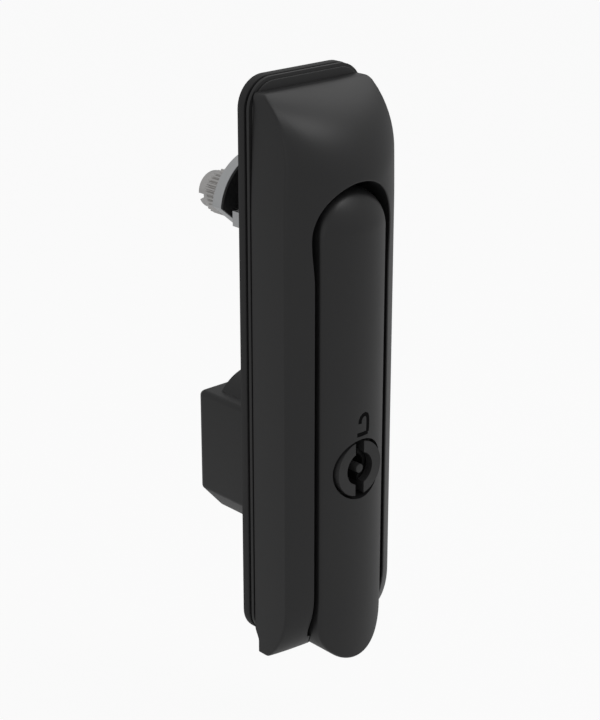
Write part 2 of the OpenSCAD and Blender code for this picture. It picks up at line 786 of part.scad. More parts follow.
module lock_barrel() {
    color([0.2, 0.2, 0.21])
    difference() {
        bar_at([0, lock_z], barrel_rear, barrel_face, barrel_d / 2);
        bar_at([0, lock_z], barrel_rear - cut, rotor_face, rotor_d / 2 + run_fit);
        bar_at([0, lock_z], rotor_face - cut, barrel_face + cut, key_bore_d / 2);
        slab(rotor_face - cut, barrel_face + cut) translate([0, lock_z])
            square([key_slot_w, barrel_d + 2 * cut], center = true);
        difference() {
            bar_at([0, lock_z], clip_front - clip_w, clip_front, barrel_d / 2 + cut);
            bar_at([0, lock_z], clip_front - clip_w - cut, clip_front + cut, clip_groove_r);
        }
    }
}

// Spring clip that holds the barrel behind the handle, open on one side.
module barrel_clip() {
    color([0.7, 0.71, 0.72])
    difference() {
        bar_at([0, lock_z], clip_front - clip_w, clip_front, barrel_d / 2 + 2);
        bar_at([0, lock_z], clip_front - clip_w - cut, clip_front + cut, clip_groove_r);
        slab(clip_front - clip_w - cut, clip_front + cut) translate([0, lock_z + barrel_d / 2 + 1])
            square([barrel_d * 0.8, barrel_d + 2], center = true);
    }
}

module lock_rotor() {
    color([0.1, 0.1, 0.105])
    difference() {
        union() {
            bar_at([0, lock_z], cam_front, rotor_face - seat_gap, rotor_d / 2);
            slab(cam_back, cam_front) translate([0, lock_z]) square(tang_w, center = true);
        }
        bar_at([0, lock_z], key_floor, rotor_face, key_socket_r);
        slab(key_floor, rotor_face) translate([0, lock_z])
            square([key_slot_w, rotor_d + 2 * cut], center = true);
        bar_at([0, lock_z], key_floor - pin_seat, key_floor + cut, key_pin_d / 2);
        bar_at([0, lock_z], cam_back - cut, cam_back + cam_screw_l, screw_d / 2);
    }
}

module key_pin() {
    color([0.35, 0.35, 0.36])
    bar_at([0, lock_z], key_floor - pin_seat, barrel_face - 0.8, key_pin_d / 2);
}

module locking_cam() {
    color([0.68, 0.69, 0.7])
    slab(cam_back, cam_front) translate([0, lock_z]) difference() {
        union() {
            circle(cam_hub_r);
            translate([-cam_w / 2, -cam_len + cam_w / 2]) square([cam_w, cam_len - cam_w / 2]);
            translate([0, -cam_len + cam_w / 2]) circle(cam_w / 2);
        }
        square(tang_w, center = true);
    }
}

module cam_screw() {
    color([0.66, 0.67, 0.69])
    difference() {
        union() {
            bar_at([0, lock_z], cam_back, cam_back + cam_screw_l, screw_d / 2);
            bar_at([0, lock_z], cam_back - screw_head_t, cam_back, cam_head_r);
        }
        translate([0, -cam_back + screw_head_t, lock_z]) cube([3.6, 1.4, 0.8], center = true);
    }
}

// Outline of the toothed ring, in its own plane.
module tooth_outline() {
    root = ring_d / 2 - tooth_h;
    step = 360 / ring_teeth;
    polygon([for (i = [0:ring_teeth - 1]) each [
        for (p = [[-0.42, root], [-0.14, ring_d / 2], [0.14, ring_d / 2], [0.42, root]])
            let (turn = step * (i + p[0])) [p[1] * cos(turn), p[1] * sin(turn)]]]);
}

module drive_shaft() {
    color([0.76, 0.77, 0.78])
    difference() {
        union() {
            bar_at([0, hub_z], -shaft_reach, shaft_front, shaft_r);
            bar_at([0, hub_z], shaft_front - cut, journal_front, journal_d / 2);
            slab(-ring_reach - ring_t, -ring_reach) translate([0, hub_z]) tooth_outline();
        }
        difference() {
            bar_at([0, hub_z], -clip_reach - clip_t, -clip_reach, shaft_r + cut);
            bar_at([0, hub_z], -clip_reach - clip_t - cut, -clip_reach + cut, shaft_groove_r);
        }
        translate([0, shaft_reach, hub_z]) rotate([0, slot_turn, 0])
            cube([shaft_d + 2 * cut, 2 * end_slot_t, end_slot_w], center = true);
        bar_at([0, hub_z], -shaft_reach - cut, -shaft_reach + end_bore_t, end_bore_r);
    }
}

// Outline of the stop disc: a circle with a flat towards its lower left.
module disc_outline(inset = 0) {
    translate([0, hub_z]) difference() {
        circle(disc_r - inset, $fn = 96);
        rotate(flat_turn) translate([disc_flat - inset, -disc_r]) square([disc_r, 2 * disc_r]);
    }
}

module thrust_washer() {
    color([0.04, 0.04, 0.045])
    difference() {
        slab(-disc_reach, -washer_reach) disc_outline(0.1);
        bar_at([0, hub_z], -disc_reach - cut, -washer_reach + cut, shaft_r);
    }
}

module stop_disc() {
    color([0.74, 0.75, 0.76])
    difference() {
        slab(-clip_reach, -disc_reach) disc_outline();
        bar_at([0, hub_z], -clip_reach - cut, -disc_reach + cut, shaft_r);
    }
}

// Retaining ring behind the stop disc, open at the top.
module shaft_clip() {
    color([0.6, 0.61, 0.62])
    difference() {
        bar_at([0, hub_z], -clip_reach - clip_t, -clip_reach, shaft_r + 2.2);
        bar_at([0, hub_z], -clip_reach - clip_t - cut, -clip_reach + cut, shaft_groove_r);
        slab(-clip_reach - clip_t - cut, -clip_reach + cut) translate([0, hub_z + shaft_r])
            square([shaft_r, 3 * shaft_r / 2], center = true);
    }
}

gasket();
base_frame();
front_cover();
cover_screws();
thread_inserts();
lock_box();
box_screws();
shaft_bush();
shaft_seal();
bearing_plate();
bearing_screws();
drive_yoke();
yoke_screws();
pivot_pin();
handle_grip();
handle_liner();
lock_barrel();
barrel_clip();
lock_rotor();
key_pin();
locking_cam();
cam_screw();
drive_shaft();
thrust_washer();
stop_disc();
shaft_clip();
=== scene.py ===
"""A swing handle latch for a cabinet door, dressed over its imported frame.

All places are in the frame of the part: X to the right and Z up seen from in front of the door,
and Y into the door. Sizes in the classes are in millimetres, and meshes are in metres. A depth is
a distance in front of the door's face, along -Y, and a reach is one behind it, along +Y.
"""
import logging
import math
from dataclasses import dataclass, field
from enum import Enum
from typing import Callable, Iterable, Sequence

import bpy
from mathutils import Matrix, Vector


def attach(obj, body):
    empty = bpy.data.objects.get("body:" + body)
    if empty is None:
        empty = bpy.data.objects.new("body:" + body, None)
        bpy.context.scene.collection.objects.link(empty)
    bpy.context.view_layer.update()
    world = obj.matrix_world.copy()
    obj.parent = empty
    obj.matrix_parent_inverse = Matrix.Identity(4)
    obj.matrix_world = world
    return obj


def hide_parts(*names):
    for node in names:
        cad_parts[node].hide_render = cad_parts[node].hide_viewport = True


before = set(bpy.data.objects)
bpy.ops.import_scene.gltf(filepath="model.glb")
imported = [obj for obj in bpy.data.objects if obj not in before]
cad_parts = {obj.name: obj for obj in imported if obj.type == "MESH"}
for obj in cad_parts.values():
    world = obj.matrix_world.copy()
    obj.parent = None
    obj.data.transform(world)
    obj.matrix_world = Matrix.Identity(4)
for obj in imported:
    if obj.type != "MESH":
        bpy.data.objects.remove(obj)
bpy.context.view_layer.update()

log = logging.getLogger("swing_handle_latch")
MM = 0.001
OVER = 1.0  # A cutter reaches this many millimetres past what it cuts.
SAME = 1e-6  # Points nearer than this many metres are the same.
FLAT = 0.4  # Faces that meet at less than this many degrees are one face.
SHARP = 30.0  # Edges sharper than this many degrees are softened.
SMOOTH = 32.0  # Faces that meet at less than this many degrees shade smoothly.
MOULDED_SMOOTH = 38.0  # The same for the cover and the handle, whose faces are larger.
Colour = tuple[float, float, float]
Point = tuple[float, float, float]
Place = tuple[float, float]
Piece = bpy.types.Object
Tree = bpy.types.NodeTree
Socket = bpy.types.NodeSocket


def spread(start: float, stop: float, steps: int) -> list[float]:
    """Values at equal steps from one number to another, both ends included."""
    return [start + (stop - start) * i / steps for i in range(steps + 1)]


def feed(tree: Tree, node: bpy.types.Node, inputs: dict[str | int, object]) -> bpy.types.Node:
    """Links a shader node's inputs to outputs, or sets them to values.

    Args:
        tree: The node tree.
        node: The node.
        inputs: An output or a value for each input, by its name or number.

    Returns:
        The node.
    """
    for key, given in inputs.items():
        if isinstance(given, Socket):
            tree.links.new(given, node.inputs[key])
        else:
            node.inputs[key].default_value = given
    return node


def add_node(tree: Tree, kind: str, inputs: dict[str | int, object],
             **settings: str) -> bpy.types.Node:
    """Adds a shader node.

    Args:
        tree: The node tree.
        kind: The node's type, after the word ShaderNode.
        inputs: An output or a value for each input, by its name or number.
        settings: The node's own settings.

    Returns:
        The node.
    """
    node = tree.nodes.new(f"ShaderNode{kind}")
    for name, value in settings.items():
        setattr(node, name, value)
    return feed(tree, node, inputs)


class Body(Enum):
    """The moving bodies of the latch."""

    HOUSING = "housing"
    HANDLE = "handle"
    KEY_ROTOR = "key_rotor"
    SHAFT = "shaft"


class Grain(Enum):
    """The kinds of surface grain that the finishes use."""

    MOULDED = "moulded"
    CAST = "cast"
    TURNED = "turned"
    RUBBER = "rubber"


@dataclass(frozen=True)
class Finish:
    """One finish of the latch, made as a node material.

    Attributes:
        name: Name of the material.
        colour: Base colour, linear.
        roughness: Roughness of the plain surface.
        metallic: 1 for bare metal, 0 for plastic and rubber.
        grain: The kind of surface grain.
        grain_mm: Size of the grain in millimetres.
        relief: Height of the grain in millimetres.
        shade: How far the colour varies either way, as a share.
        cloud_mm: Size of the slow variation in millimetres.
        gloss_spread: How far the roughness varies either way.
        sheen: Level of the reflection off a surface that isn't metal.
        fine_share: Share of the fine grain in the colour's variation.
    """

    name: str
    colour: Colour
    roughness: float
    metallic: float = 0.0
    grain: Grain = Grain.MOULDED
    grain_mm: float = 0.3
    relief: float = 0.004
    shade: float = 0.08
    cloud_mm: float = 14.0
    gloss_spread: float = 0.03
    sheen: float = 0.5
    fine_share: float = 0.4

    def material(self) -> bpy.types.Material:
        """Builds the material, or returns it when it is built already."""
        found = bpy.data.materials.get(self.name)
        if found:
            return found
        made = bpy.data.materials.new(self.name)
        made.use_nodes = True
        tree = made.node_tree
        place = tree.nodes.new("ShaderNodeTexCoord").outputs["Object"]
        cloud = self._noise(tree, place, self.cloud_mm, 3.0)
        fine = self._fine(tree, place)
        part = add_node(tree, "Math", {0: cloud, 1: 1 - self.fine_share}, operation="MULTIPLY")
        blend = add_node(tree, "Math", {0: fine, 1: self.fine_share, 2: part.outputs[0]},
                         operation="MULTIPLY_ADD")
        dark, pale = [(*[c * (1 + way * self.shade) for c in self.colour], 1) for way in (-1, 1)]
        tint = add_node(tree, "Mix", {"Factor": blend.outputs[0], "A": dark, "B": pale},
                        data_type="RGBA")
        gloss = add_node(tree, "MapRange", {"Value": cloud,
                                            "To Min": self.roughness - self.gloss_spread,
                                            "To Max": self.roughness + self.gloss_spread})
        bump = add_node(tree, "Bump", {"Strength": 1.0, "Distance": self.relief * MM,
                                       "Height": fine})
        feed(tree, tree.nodes["Principled BSDF"], {
            "Metallic": self.metallic, "Specular IOR Level": self.sheen,
            "Base Color": tint.outputs["Result"], "Roughness": gloss.outputs["Result"],
            "Normal": bump.outputs["Normal"]})
        return made

    def _noise(self, tree: Tree, place: Socket, size: float, detail: float) -> Socket:
        """Adds a noise.

        Args:
            tree: The material's node tree.
            place: The coordinates that it reads.
            size: Size of its features in millimetres.
            detail: Its detail.

        Returns:
            The noise's value.
        """
        noise = add_node(tree, "TexNoise", {"Scale": 1 / (size * MM), "Detail": detail,
                                            "Vector": place})
        return noise.outputs["Fac"]

    def _fine(self, tree: Tree, place: Socket) -> Socket:
        """Adds the fine grain of the finish.

        Args:
            tree: The material's node tree.
            place: The coordinates that it reads.

        Returns:
            The grain's height.
        """
        if self.grain is Grain.TURNED:
            stretch = add_node(tree, "Mapping", {"Vector": place, "Scale": (0.25, 3.0, 0.25)})
            return self._noise(tree, stretch.outputs["Vector"], self.grain_mm, 2.0)
        if self.grain is Grain.CAST:
            cells = add_node(tree, "TexVoronoi", {"Vector": place,
                                                  "Scale": 1 / (self.grain_mm * MM)})
            return cells.outputs["Distance"]
        return self._noise(tree, place, self.grain_mm, 4.0)


@dataclass(frozen=True)
class Finishes:
    """Every finish of the latch, by what it is on."""

    cover: Finish = Finish("satin_black_nylon_cover", (0.0165, 0.0165, 0.0170), 0.42)
    handle: Finish = Finish("satin_black_nylon_handle", (0.0165, 0.0165, 0.0170), 0.40)
    plate: Finish = Finish("black_nylon_plate", (0.0150, 0.0150, 0.0155), 0.44)
    box: Finish = Finish("black_nylon_box", (0.0165, 0.0165, 0.0170), 0.46)
    rubber: Finish = Finish("black_gasket_rubber", (0.0130, 0.0130, 0.0135), 0.60,
                            grain=Grain.RUBBER, grain_mm=0.5, relief=0.010)
    insert: Finish = Finish("black_lock_insert", (0.0220, 0.0220, 0.0225), 0.50)
    rotor: Finish = Finish("dark_lock_rotor", (0.0030, 0.0030, 0.0033), 0.62, sheen=0.25)
    # The sign's fill is near-black and matt, darker than the handle: painted shade in the engraved
    # line.
    sign: Finish = Finish("painted_shade_sign", (0.0020, 0.0020, 0.0022), 0.70, sheen=0.08)
    washer: Finish = Finish("black_washer_plastic", (0.0040, 0.0040, 0.0045), 0.60)
    bush: Finish = Finish("cream_bush_plastic", (0.62, 0.58, 0.48), 0.45)
    shaft: Finish = Finish("nickel_plated_shaft", (0.62, 0.61, 0.60), 0.30, metallic=1.0,
                           grain=Grain.TURNED, grain_mm=0.25, relief=0.003)
    zinc: Finish = Finish("die_cast_zinc", (0.50, 0.50, 0.49), 0.42, metallic=1.0,
                          grain=Grain.CAST, grain_mm=0.45, relief=0.006)
    screw: Finish = Finish("zinc_plated_screw", (0.60, 0.60, 0.58), 0.32, metallic=1.0,
                           grain=Grain.TURNED, grain_mm=0.2, relief=0.002)
    pin: Finish = Finish("ground_steel_pin", (0.55, 0.55, 0.55), 0.25, metallic=1.0,
                         grain=Grain.TURNED, grain_mm=0.15, relief=0.001)
    brass: Finish = Finish("brass_insert", (0.60, 0.42, 0.16), 0.34, metallic=1.0,
                           grain=Grain.TURNED, grain_mm=0.2, relief=0.003)


@dataclass(frozen=True)
class Lamp:
    """A square area lamp.

    Attributes:
        name: The lamp's name.
        place: Its place in millimetres.
        aim: The point it faces, in millimetres.
        side: Length of its side in metres.
        power: Its power in watts.
    """

    name: str
    place: Point
    aim: Point
    side: float
    power: float

    def add(self) -> None:
        """Adds the lamp to the scene."""
        data = bpy.data.lights.new(self.name, "AREA")
        data.shape = "SQUARE"
        data.size = self.side
        data.energy = self.power
        lamp = bpy.data.objects.new(self.name, data)
        lamp.location = Vector(self.place) * MM
        way = Vector(self.aim) - Vector(self.place)
        lamp.rotation_euler = way.to_track_quat("-Z", "Y").to_euler()
        bpy.context.scene.collection.objects.link(lamp)


@dataclass(frozen=True)
class Studio:
    """The camera, the lamps, the world and the floor.

    Attributes:
        eye: The camera's place in millimetres.
        gaze: The camera's direction of view.
        lens: Its focal length in millimetres.
        sensor: Width of its sensor in millimetres.
        world_light: Strength of the world's light on the object.
        floor_side: Length of the floor's side in metres.
        floor_drop: Height of the floor below the middle of the plate, in millimetres.
        floor_grey: The floor's colour.
        floor_glow: Share of plain white in the floor that the camera sees.
        lamps: The lamps.
    """

    eye: Point = (-394.65, -434.81, 221.66)
    gaze: Point = (0.6298, 0.6902, -0.3563)
    lens: float = 91.25
    sensor: float = 36.0
    world_light: float = 0.46
    floor_side: float = 6.0
    floor_drop: float = 150.0
    floor_grey: float = 0.86
    floor_glow: float = 0.92
    lamps: tuple[Lamp, ...] = (Lamp("key_panel", (400, 40, 540), (0, 0, 0), 0.4, 0.42),
                               Lamp("top_panel", (190, -380, 560), (0, 0, 60), 0.22, 0.6),
                               Lamp("left_panel", (-700, -300, 180), (0, 0, 0), 0.6, 0.2))

    def build(self) -> None:
        """Builds the camera, the world, the floor and the lamps."""
        self.camera()
        self.world()
        self.floor()
        for lamp in self.lamps:
            lamp.add()
        bpy.context.scene.view_settings.view_transform = "Standard"

    def camera(self) -> None:
        """Adds the camera at the photograph's viewpoint."""
        data = bpy.data.cameras.new("photo_camera")
        data.lens = self.lens
        data.sensor_width = self.sensor
        data.clip_start = 0.01
        data.clip_end = 50.0
        eye = bpy.data.objects.new("photo_camera", data)
        eye.location = Vector(self.eye) * MM
        eye.rotation_euler = Vector(self.gaze).to_track_quat("-Z", "Y").to_euler()
        bpy.context.scene.collection.objects.link(eye)
        bpy.context.scene.camera = eye

    def world(self) -> None:
        """Makes the world white to the camera and a softer grey to the object."""
        world = bpy.data.worlds.new("studio_world")
        bpy.context.scene.world = world
        world.use_nodes = True
        tree = world.node_tree
        tree.nodes.clear()
        seen, light = [add_node(tree, "Background", {"Color": (1, 1, 1, 1), "Strength": strength})
                       for strength in (1.0, self.world_light)]
        self._camera_mix(tree, light, seen, "OutputWorld")

    def _camera_mix(self, tree: Tree, plain: bpy.types.Node, seen: bpy.types.Node,
                    output: str) -> None:
        """Shows one shader to the camera and another to all other rays.

        Args:
            tree: The node tree.
            plain: The shader for other rays.
            seen: The shader for the camera.
            output: Type of the output node, after the word ShaderNode.
        """
        ray = tree.nodes.new("ShaderNodeLightPath").outputs["Is Camera Ray"]
        mix = add_node(tree, "MixShader", {0: ray, 1: plain.outputs[0], 2: seen.outputs[0]})
        add_node(tree, output, {"Surface": mix.outputs[0]})

    def floor(self) -> None:
        """Adds the pale floor, which keeps a soft shadow of the object."""
        bpy.ops.mesh.primitive_plane_add(size=self.floor_side,
                                         location=(0, 0, -self.floor_drop * MM))
        floor = bpy.context.object
        floor.name = "floor"
        made = bpy.data.materials.new("pale_floor")
        made.use_nodes = True
        tree = made.node_tree
        tree.nodes.clear()
        paint = add_node(tree, "BsdfDiffuse", {"Color": (*[self.floor_grey] * 3, 1)})
        glow = add_node(tree, "Emission", {"Color": (1, 1, 1, 1), "Strength": 1.0})
        bright = add_node(tree, "MixShader", {0: self.floor_glow, 1: paint.outputs[0],
                                              2: glow.outputs[0]})
        self._camera_mix(tree, paint, bright, "OutputMaterial")
        floor.data.materials.append(made)


@dataclass(frozen=True)
class LatchSizes:
    """The sizes that the pieces share.

    Attributes:
        plate_w, plate_h, plate_corner: Width, height and corner radius of the plate.
        rim_front: Depth of the front of the plate's rim.
        flange_front: Depth of the back of the channel's open end.
        tray_step: How far the cover's flange stands in front of the rim.
        shell_half, shell_top, shell_bottom: Half width and two ends of the cover's body.
        side_depth, crown_depth: Depth of its front at its sides and on its middle line.
        top_edge_depth, bottom_edge_depth: Depth where the front ends above and below.
        bottom_bow: How much further forward the middle of the lower end lies.
        top_run, top_run_crown: Length of the upper end's curve, at the sides and the middle.
        bottom_run, bottom_run_crown: The same at the lower end.
        taper_z, taper, taper_power: Where the body's sides draw in, how far, and how late.
        channel_half, hub_gap: Half width of the channel, and what the well adds to it.
        well_start: Where the channel starts to widen below the well, in well radii.
        draw_z, draw: Where the channel's walls draw in near the toe, and how far.
        toe_z: Height of the toe's top, where they are drawn in fully.
        scoop_z, scoop_drop: Where the channel's floor falls back, and how far.
        channel_floor, hub_floor: Depth of the channel's floor and of the well's floor.
        hub_z, lock_z: Heights of the shaft's axis and of the lock's axis.
        handle_half: Half width of the handle.
        handle_crown, handle_side: Depth of its front on its middle line and at its sides.
        handle_back, handle_edge: Depth of its back, and rounding of its side edges.
        hub_drop, hub_edge: Fall of the front and rounding of the edge at the hub's end.
        tip_z: Height of the centre of the handle's round tip.
        tip_drop, tip_edge: Fall of the front and rounding of the edge at the tip's end.
        tip_run: Length of that fall.
        barrel_r, barrel_face: Radius of the lock barrel, and depth of its face.
        cam_len, cam_way_half: Length of the locking cam, and half width of its slot.
        pivot_depth: Depth of the pivot pin's axis.
        yoke_half, yoke_r: Half width and radius of the yoke's room in the handle.
        clear: A depth in front of every piece, where cutters end.
    """

    plate_w: float = 50.0
    plate_h: float = 199.6
    plate_corner: float = 10.3
    rim_front: float = 5.5
    flange_front: float = 7.9
    tray_step: float = 0.7
    shell_half: float = 24.6
    shell_top: float = 95.6
    shell_bottom: float = -104.0
    side_depth: float = 22.0
    crown_depth: float = 31.9
    top_edge_depth: float = 10.3
    bottom_edge_depth: float = 12.2
    bottom_bow: float = 2.2
    top_run: float = 22.0
    top_run_crown: float = 31.0
    bottom_run: float = 22.0
    bottom_run_crown: float = 30.0
    taper_z: float = 55.0
    taper: float = 1.35
    taper_power: float = 1.4
    channel_half: float = 16.4
    hub_gap: float = 0.9
    well_start: float = 0.95
    draw: float = 1.4
    draw_z: float = -89.0
    toe_z: float = -95.0
    scoop_z: float = -66.2
    scoop_drop: float = 3.0
    channel_floor: float = 13.0
    hub_floor: float = 9.0
    hub_z: float = 50.0
    lock_z: float = -32.4
    handle_half: float = 14.6
    handle_crown: float = 32.8
    handle_side: float = 28.4
    handle_back: float = 15.5
    handle_edge: float = 1.2
    hub_drop: float = 6.8
    hub_edge: float = 2.4
    tip_edge: float = 1.0
    tip_z: float = -90.4
    tip_drop: float = 0.7
    tip_run: float = 26.0
    barrel_r: float = 9.8
    barrel_face: float = 32.3
    cam_len: float = 14.0
    cam_way_half: float = 7.5
    pivot_depth: float = 18.0
    yoke_half: float = 9.4
    yoke_r: float = 7.0
    clear: float = 40.0

    @property
    def well_r(self) -> float:
        """Radius of the well round the handle's hub."""
        return self.channel_half + self.hub_gap

    @property
    def well_low(self) -> float:
        """Height where the channel begins to widen into the well."""
        return self.hub_z - self.well_start * self.well_r

    def end_curve(self, full: float, edge: float, run: float, t: float) -> float:
        """Depth of an end curve, an arc from the full depth to the end's edge.

        Args:
            full: The full depth.
            edge: Depth at the end's edge.
            run: Length of the curve.
            t: Distance past the curve's start.

        Returns:
            The depth in millimetres.
        """
        drop = full - edge
        radius = (run * run + drop * drop) / (2 * drop)
        return full if t <= 0 else full - radius + math.sqrt(max(0.0, radius * radius - t * t))

    def draw_in(self, z: float) -> float:
        """Share of the full half width that the body has at a height."""
        rise = max(0.0, (z - self.taper_z) / (self.shell_top - self.taper_z))
        return 1 - self.taper * rise ** self.taper_power / self.shell_half

    def cover_depth(self, x: float, z: float) -> float:
        """Depth of the body's front surface.

        Args:
            x: Place across the body.
            z: Height.

        Returns:
            The depth in millimetres.
        """
        rise_h = self.crown_depth - self.side_depth
        radius = (rise_h ** 2 + self.shell_half ** 2) / (2 * rise_h)
        across = min(abs(x) / self.draw_in(z), self.shell_half)
        rise = math.sqrt(radius ** 2 - across ** 2) - math.sqrt(radius ** 2 - self.shell_half ** 2)
        share = rise / rise_h
        full = self.side_depth + rise
        if z > 0:
            up = self.top_run + (self.top_run_crown - self.top_run) * share
            return self.end_curve(full, self.top_edge_depth, up, z - (self.shell_top - up))
        down = self.bottom_run + (self.bottom_run_crown - self.bottom_run) * share
        return self.end_curve(full, self.bottom_edge_depth + self.bottom_bow * share, down,
                              self.shell_bottom + down - z)

    def channel_side(self, z: float) -> float:
        """Half width of the channel at a height, up to the middle of the well."""
        if z > self.well_low:
            turn = math.pi * (z - self.well_low) / (self.hub_z - self.well_low)
            return self.channel_half + self.hub_gap * (1 - math.cos(turn)) / 2
        low = min(1.0, max(0.0, (self.draw_z - z) / (self.draw_z - self.toe_z)))
        return self.channel_half - self.draw * low ** 2

    def floor_depth(self, z: float) -> float:
        """Depth of the channel's floor, which falls back towards the open end."""
        out = max(0.0, (self.scoop_z - z) / (self.scoop_z - self.shell_bottom))
        return self.channel_floor - self.scoop_drop * out ** 2

    def handle_depth(self, x: float, z: float) -> float:
        """Depth of the handle's front surface.

        Args:
            x: Place across the handle.
            z: Height.

        Returns:
            The depth in millimetres.
        """
        rise = self.handle_crown - self.handle_side
        radius = (rise ** 2 + self.handle_half ** 2) / (2 * rise)
        full = self.handle_crown - radius + math.sqrt(radius ** 2 - x * x)
        if z > self.hub_z:
            return self.end_curve(full, full - self.hub_drop, self.handle_half, z - self.hub_z)
        return self.end_curve(full, full - self.tip_drop, self.tip_run,
                              self.tip_z - self.handle_half + self.tip_run - z)


# Ways of making and finishing pieces

def lofted(name: str, sections: Sequence[Sequence[Point]]) -> Piece:
    """Makes a closed solid through sections, each a closed loop of points.

    Args:
        name: The piece's name.
        sections: The loops, with equal numbers of points, as places in millimetres.

    Returns:
        The piece, with its ends closed and points that meet joined.
    """
    across, along = len(sections[0]), len(sections) - 1
    bpy.ops.mesh.primitive_grid_add(x_subdivisions=across, y_subdivisions=along, size=1.0)
    made = bpy.context.object
    made.name = name
    for vertex in made.data.vertices:
        column = round((vertex.co.x + 0.5) * across) % across
        row = round((vertex.co.y + 0.5) * along)
        vertex.co = Vector(sections[row][column]) * MM
    edit(made, "FACE")
    bpy.ops.mesh.select_all(action="SELECT")
    bpy.ops.mesh.remove_doubles(threshold=SAME)
    bpy.ops.mesh.fill_holes(sides=0)
    leave_outward()
    return made


def only(piece: Piece) -> None:
    """Selects one piece alone and makes it the active one."""
    bpy.ops.object.select_all(action="DESELECT")
    piece.select_set(True)
    bpy.context.view_layer.objects.active = piece


def edit(piece: Piece, kind: str) -> None:
    """Opens one piece in edit mode with nothing selected.

    Args:
        piece: The piece.
        kind: What is selected there: VERT, EDGE or FACE.
    """
    only(piece)
    bpy.ops.object.mode_set(mode="EDIT")
    bpy.ops.mesh.select_mode(type=kind)
    bpy.ops.mesh.select_all(action="DESELECT")


def leave_outward() -> None:
    """Turns every normal of the open piece outward and leaves edit mode."""
    bpy.ops.mesh.select_all(action="SELECT")
    bpy.ops.mesh.normals_make_consistent(inside=False)
    bpy.ops.object.mode_set(mode="OBJECT")


def seat(piece: Piece) -> Piece:
    """Moves a piece's place and turn into its mesh, and returns it."""
    only(piece)
    bpy.ops.object.transform_apply(location=True, rotation=True, scale=True)
    return piece


def apply(piece: Piece, modifier: bpy.types.Modifier) -> None:
    """Applies one modifier of a piece."""
    bpy.context.view_layer.objects.active = piece
    bpy.ops.object.modifier_apply(modifier=modifier.name)


def bar(name: str, place: Place, back: float, front: float, radius: float,
        sides: int = 96) -> Piece:
    """Makes a round bar along the depth.

    Args:
        name: The bar's name.
        place: Its place in the front view.
        back: Depth of its rear end.
        front: Depth of its front end.
        radius: Its radius.
        sides: Number of its sides.

    Returns:
        The bar.
    """
    bpy.ops.mesh.primitive_cylinder_add(
        vertices=sides, radius=radius * MM, depth=(front - back) * MM,
        location=Vector((place[0], -(back + front) / 2, place[1])) * MM,
        rotation=(math.radians(90), 0, 0))
    made = bpy.context.object
    made.name = name
    return seat(made)


def block(name: str, low: Point, high: Point) -> Piece:
    """Makes a block between two corners.

    Args:
        name: The block's name.
        low: Its lowest corner in millimetres.
        high: Its highest corner in millimetres.

    Returns:
        The block.
    """
    middle = (Vector(low) + Vector(high)) / 2 * MM
    bpy.ops.mesh.primitive_cube_add(size=1.0, location=middle,
                                    scale=(Vector(high) - Vector(low)) * MM)
    made = bpy.context.object
    made.name = name
    return seat(made)


def cut(piece: Piece, cutter: Piece) -> None:
    """Cuts one solid out of another and removes the cutter.

    Args:
        piece: The piece that is cut.
        cutter: The solid that is taken away.
    """
    way = piece.modifiers.new("cut", "BOOLEAN")
    way.operation = "DIFFERENCE"
    way.solver = "EXACT"
    way.object = cutter
    apply(piece, way)
    bpy.data.objects.remove(cutter, do_unlink=True)


def bevel(piece: Piece, picks: Callable[[Vector, Vector], bool], width: float,
          segments: int) -> None:
    """Rounds the edges that a test picks.

    Args:
        piece: The piece.
        picks: Says from an edge's two ends, in metres, whether it is rounded.
        width: Width of the rounding in millimetres.
        segments: Number of its steps.
    """
    edit(piece, "EDGE")
    bpy.ops.object.mode_set(mode="OBJECT")
    for edge in piece.data.edges:
        edge.select = picks(*[piece.data.vertices[v].co for v in edge.vertices])
    bpy.ops.object.mode_set(mode="EDIT")
    bpy.ops.mesh.bevel(offset=width * MM, segments=segments, affect="EDGES")
    leave_outward()


def runs_deep(a: Vector, b: Vector) -> bool:
    """Says whether an edge between two points runs along the depth."""
    return abs(a.y - b.y) > SAME


def soften(piece: Piece, width: float, segments: int = 2) -> None:
    """Rounds every sharp edge.

    Args:
        piece: The piece.
        width: Width of the rounding in millimetres.
        segments: Number of its steps.
    """
    round_off = piece.modifiers.new("soften", "BEVEL")
    round_off.width = width * MM
    round_off.segments = segments
    round_off.limit_method = "ANGLE"
    round_off.angle_limit = math.radians(SHARP)
    apply(piece, round_off)


def refined(node: str, name: str, width: float, segments: int) -> Piece:
    """Makes a finished piece from a copy of a CAD node: joined, tidied and softened.

    Args:
        node: The CAD node.
        name: The piece's name.
        width: Width of the rounding of its edges in millimetres, or 0 for none.
        segments: Number of the rounding's steps.

    Returns:
        The piece.
    """
    made = bpy.data.objects.new(name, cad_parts[node].data.copy())
    bpy.context.scene.collection.objects.link(made)
    edit(made, "FACE")
    bpy.ops.mesh.select_all(action="SELECT")
    bpy.ops.mesh.remove_doubles(threshold=2 * SAME)
    bpy.ops.mesh.dissolve_limited(angle_limit=math.radians(FLAT))
    leave_outward()
    if width > 0:
        soften(made, width, segments)
    return made


def dress(piece: Piece, finish: Finish, body: Body, nodes: Sequence[str],
          smooth: float = SMOOTH) -> None:
    """Gives a piece its finish and shading, puts it on its body, hides the CAD nodes that it stands
    for and logs it.

    Args:
        piece: The piece.
        finish: Its finish.
        body: The body that it rides on.
        nodes: The CAD nodes that it stands for.
        smooth: Faces that meet at less than this many degrees shade smoothly.
    """
    piece.data.materials.clear()
    piece.data.materials.append(finish.material())
    for face in piece.data.polygons:
        face.material_index = 0
    only(piece)
    bpy.ops.object.shade_smooth_by_angle(angle=math.radians(smooth))
    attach(piece, body.value)
    if nodes:
        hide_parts(*nodes)
    log.info("piece %s: %d faces", piece.name, len(piece.data.polygons))


